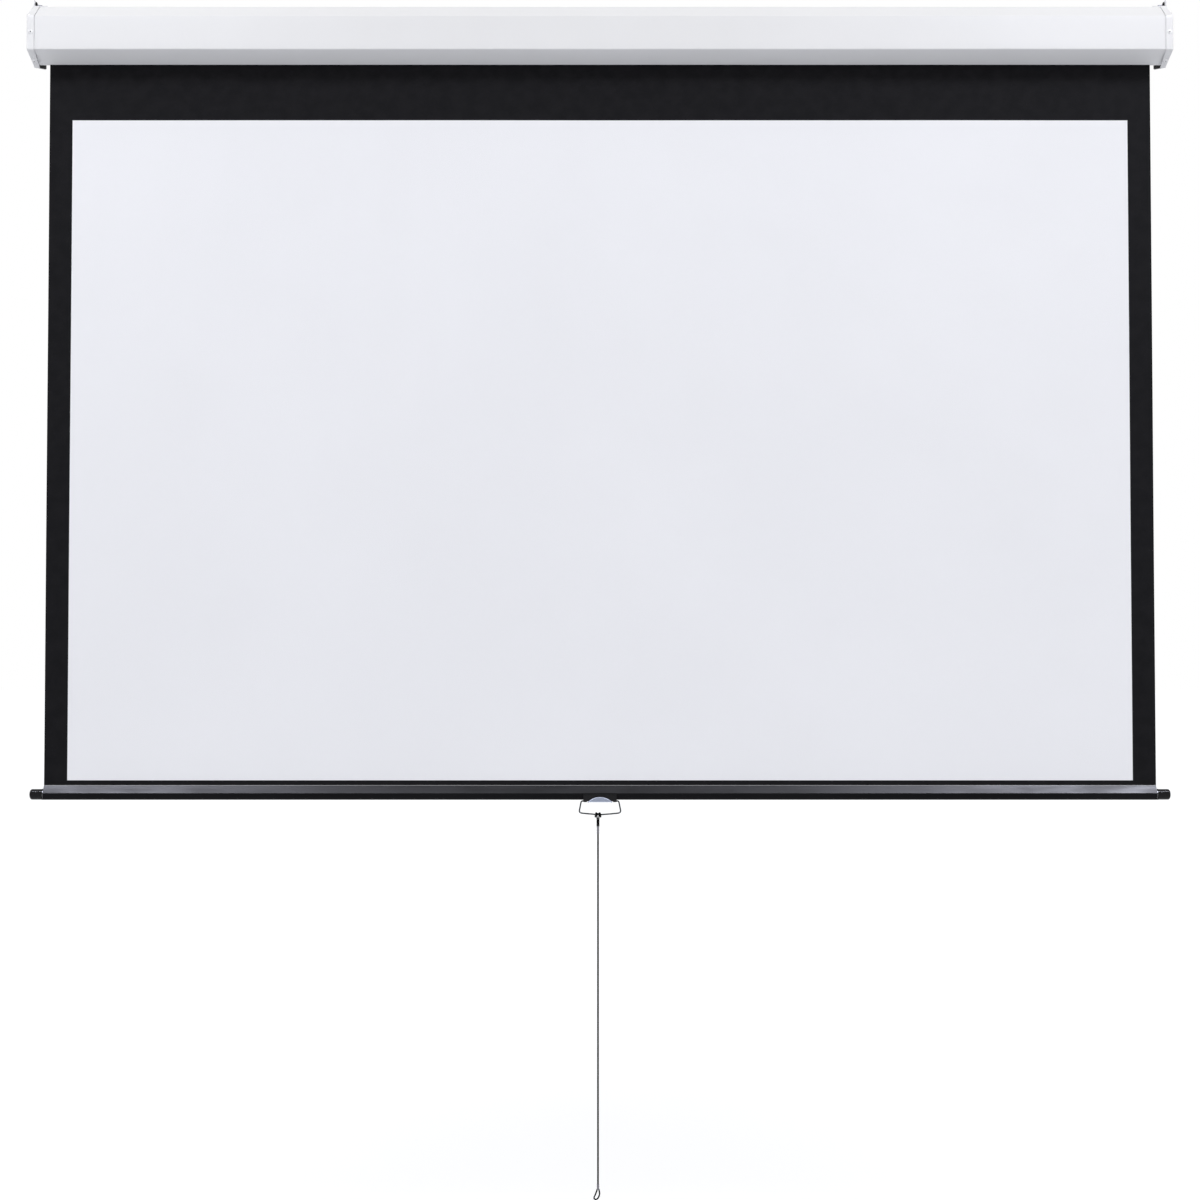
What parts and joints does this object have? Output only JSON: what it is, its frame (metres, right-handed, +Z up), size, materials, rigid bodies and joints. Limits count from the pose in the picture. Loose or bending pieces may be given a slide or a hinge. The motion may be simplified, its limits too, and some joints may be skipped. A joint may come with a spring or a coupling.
{
  "type": "pull-down projector screen",
  "caption": "Wall-hung case with a spring roller, and a white screen with black borders that a weight bar, a wire bail and a pull cord draw down.",
  "frame": {"origin": "centre of the flat back of the case, on the wall's plane", "axes": "+X along the case to the viewer's right, +Y back into the wall, +Z up; the screen faces -Y"},
  "size_m": [2.5092, 0.1402, 2.6349],
  "materials": {
    "white_paint": "satin white powder coat",
    "zinc": "dull zinc plate",
    "steel": "plain steel",
    "chrome": "bright plated wire",
    "rubber": "matt black moulded",
    "nylon": "natural nylon",
    "black_plastic": "glossy black moulded",
    "grey_plastic": "glossy pale blue-grey",
    "screen_cloth": "matt white coated cloth, black borders and back",
    "black_cloth": "black coated cloth",
    "cord": "black braided cord"
  },
  "bodies": {
    "case": {"case_shell": "white_paint", "end_cap_left": "white_paint", "end_cap_right": "white_paint", "hanger_ear_left": "white_paint", "hanger_ear_right": "white_paint", "cap_screw_left_front": "white_paint", "cap_screw_left_lower": "white_paint", "cap_screw_left_top": "white_paint", "cap_screw_right_front": "white_paint", "cap_screw_right_lower": "white_paint", "cap_screw_right_top": "white_paint", "bracket_screw_left_upper": "white_paint", "bracket_screw_left_lower": "white_paint", "bracket_screw_right_upper": "white_paint", "bracket_screw_right_lower": "white_paint", "hanger_grommet_left": "rubber", "hanger_grommet_right": "rubber", "slot_seal_left": "rubber", "slot_seal_right": "rubber", "hanger_bolt_left": "zinc", "hanger_bolt_right": "zinc", "hanger_nut_left": "zinc", "hanger_nut_right": "zinc", "roller_bracket_left": "zinc", "roller_bracket_right": "zinc", "spring_spear": "zinc", "idle_bush": "nylon", "spring_hub": "nylon", "ratchet_wheel": "steel", "spring_mandrel": "steel", "torsion_spring": "steel", "screen_fabric": "screen_cloth"},
    "roller": {"roller_tube": "steel", "wound_screen": "black_cloth", "roller_plug_left": "black_plastic", "roller_plug_right": "black_plastic", "idle_pin": "steel", "pawl_pin_upper": "steel", "pawl_pin_lower": "steel", "spring_anchor": "nylon"},
    "pawl_a": {"pawl_upper": "steel"},
    "pawl_b": {"pawl_lower": "steel"},
    "bar": {"hem_pocket": "black_cloth", "weight_bar": "steel", "bar_cap_left": "black_plastic", "bar_cap_right": "black_plastic", "handle_mount": "black_plastic", "mount_insert": "grey_plastic", "mount_screw_left": "zinc", "mount_screw_right": "zinc"},
    "bail": {"wire_bail": "chrome"},
    "cord": {"cord_hitch": "cord", "cord_ferrule_upper": "zinc", "pull_cord": "cord", "cord_ferrule_lower": "zinc", "cord_end_loop": "cord"}
  },
  "joints": [
    {"name": "screen_travel", "type": "slide", "parent": "case", "child": "bar", "axis": [0, 0, 1], "range_m": [0, 1.5918], "deforming": ["screen_fabric"]},
    {"name": "roller_spin", "type": "hinge", "parent": "case", "child": "roller", "pos_m": [0, -0.0455, 0], "axis": [1, 0, 0], "range_deg": [-3420, 0]},
    {"name": "pawl_upper_drop", "type": "hinge", "parent": "roller", "child": "pawl_a", "pos_m": [-1.2193, -0.0541, 0.01229], "axis": [-1, 0, 0], "range_deg": [0, 15.8]},
    {"name": "pawl_lower_drop", "type": "hinge", "parent": "roller", "child": "pawl_b", "pos_m": [-1.2193, -0.0369, -0.01229], "axis": [-1, 0, 0], "range_deg": [0, 15.8]},
    {"name": "bail_swing", "type": "hinge", "parent": "bar", "child": "bail", "pos_m": [0, -0.07255, -1.6998], "axis": [1, 0, 0], "range_deg": [-75, 75]},
    {"name": "cord_swing", "type": "hinge", "parent": "bail", "child": "cord", "pos_m": [0, -0.07255, -1.73], "axis": [-1, 0, 0], "range_deg": [-90, 90]}
  ],
  "couplings": [
    {"joint": "roller_spin", "follows": "screen_travel", "rad_per_m": -37.49}
  ]
}
